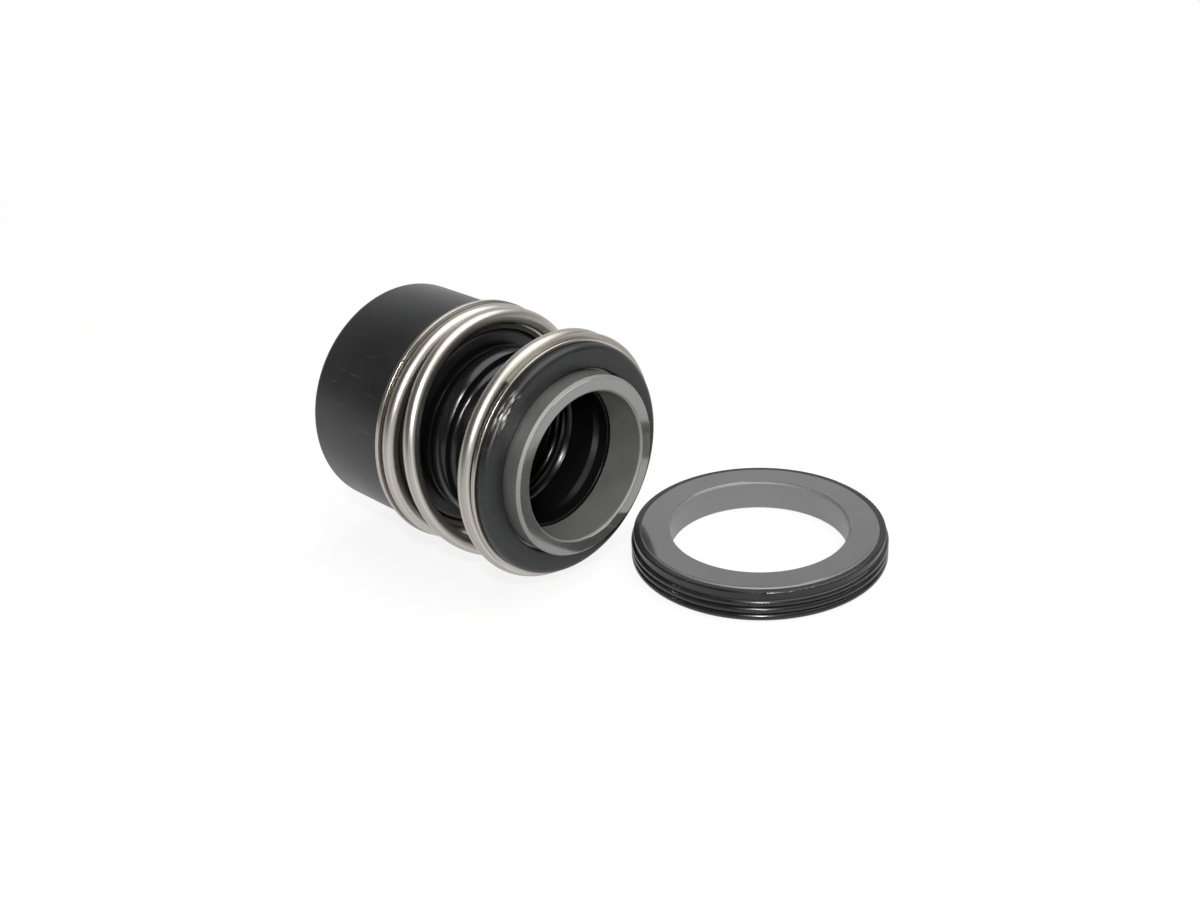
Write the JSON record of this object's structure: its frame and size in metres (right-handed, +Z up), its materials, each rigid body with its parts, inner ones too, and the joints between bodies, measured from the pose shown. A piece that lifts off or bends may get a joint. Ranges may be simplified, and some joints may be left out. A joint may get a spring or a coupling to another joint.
{
  "type": "component mechanical seal",
  "caption": "Rubber-bellows mechanical shaft seal: spring-loaded rotary head with a lapped ring, and the stationary seat ring in a ribbed rubber cup that it runs against.",
  "frame": {"origin": "on the axis of the rotary head, at the end face of its rubber tail", "axes": "+X along the shaft axis of the rotary head, from its tail towards its sealing face; +Z up from the table both halves lie on; the seat's own axis is vertical"},
  "size_m": [0.0884, 0.0707, 0.0446],
  "materials": {
    "bellows": "satin charcoal rubber with fine scratches",
    "tail_spring_collar": "bright pressed stainless steel",
    "head_spring_collar": "bright pressed stainless steel",
    "spring": "bright drawn stainless wire",
    "face_ring": "lapped grey silicon carbide, mirror flat on its face",
    "seat_ring": "lapped grey silicon carbide, mirror flat on its face",
    "seat_cup": "black rubber with a soft gloss"
  },
  "bodies": {
    "tail": {"bellows": "bellows", "tail_spring_collar": "tail_spring_collar", "spring": "spring", "seat_ring": "seat_ring", "seat_cup": "seat_cup"},
    "head": {"head_spring_collar": "head_spring_collar", "face_ring": "face_ring"}
  },
  "joints": [
    {"name": "head_slide", "type": "slide", "parent": "tail", "child": "head", "axis": [1, 0, 0], "range_m": [-0.006, 0], "stiffness_N_per_m": 7300, "deforming": ["bellows", "spring"]}
  ]
}
